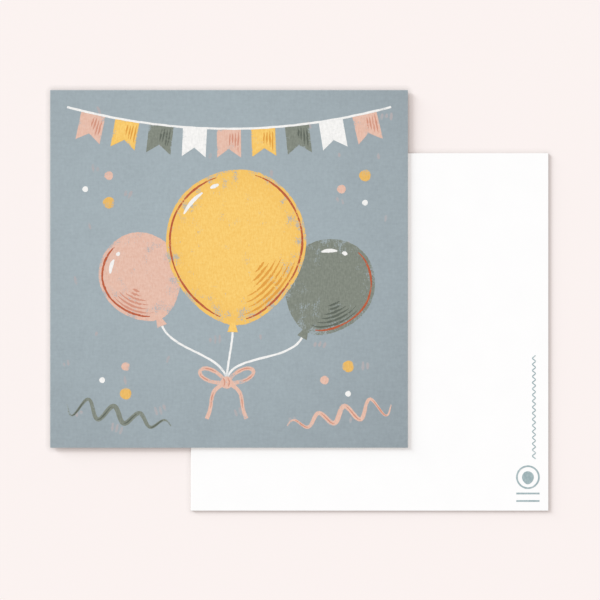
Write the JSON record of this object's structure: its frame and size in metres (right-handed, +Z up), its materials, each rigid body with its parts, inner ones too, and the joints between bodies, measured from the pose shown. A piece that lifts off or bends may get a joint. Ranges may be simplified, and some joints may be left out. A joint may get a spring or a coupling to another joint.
{
  "type": "greeting card",
  "caption": "Flat square greeting cards of printed board, lying fanned: the upper face up with a balloon picture, the lower face down with a plain back. The upper slides over the lower.",
  "frame": {"origin": "middle of the pair's footprint, on the surface that the lower card lies on", "axes": "+Z up out of the upper card's picture, +X to the picture's right, +Y to the picture's top"},
  "size_m": [0.2062, 0.174, 0.001],
  "materials": {
    "card_board": "uncoated felt-marked white picture card board",
    "ground_ink": "matt dusty blue ground, slightly mottled, soaked into the board",
    "gold_ink": "matt gold yellow, dry-brushed, ground showing through near the edges",
    "rose_ink": "matt rose, crayon-like",
    "sage_ink": "matt grey green, crayon-like",
    "rust_ink": "matt rust outlines of uneven width",
    "white_ink": "matt opaque white",
    "imprint_ink": "pale blue grey line print"
  },
  "bodies": {
    "lower_card": {"lower_card_sheet": "card_board", "lower_card_ground_ink": "ground_ink", "lower_card_gold_ink": "gold_ink", "lower_card_rose_ink": "rose_ink", "lower_card_sage_ink": "sage_ink", "lower_card_rust_ink": "rust_ink", "lower_card_white_ink": "white_ink", "lower_card_imprint": "imprint_ink"},
    "upper_card": {"upper_card_sheet": "card_board", "upper_card_ground_ink": "ground_ink", "upper_card_gold_ink": "gold_ink", "upper_card_rose_ink": "rose_ink", "upper_card_sage_ink": "sage_ink", "upper_card_rust_ink": "rust_ink", "upper_card_white_ink": "white_ink", "upper_card_imprint": "imprint_ink"}
  },
  "joints": [
    {"name": "upper_card_slide", "type": "slide", "parent": "lower_card", "child": "upper_card", "axis": [0.9124, -0.4092, 0], "range_m": [-0.015, 0.0637]}
  ]
}
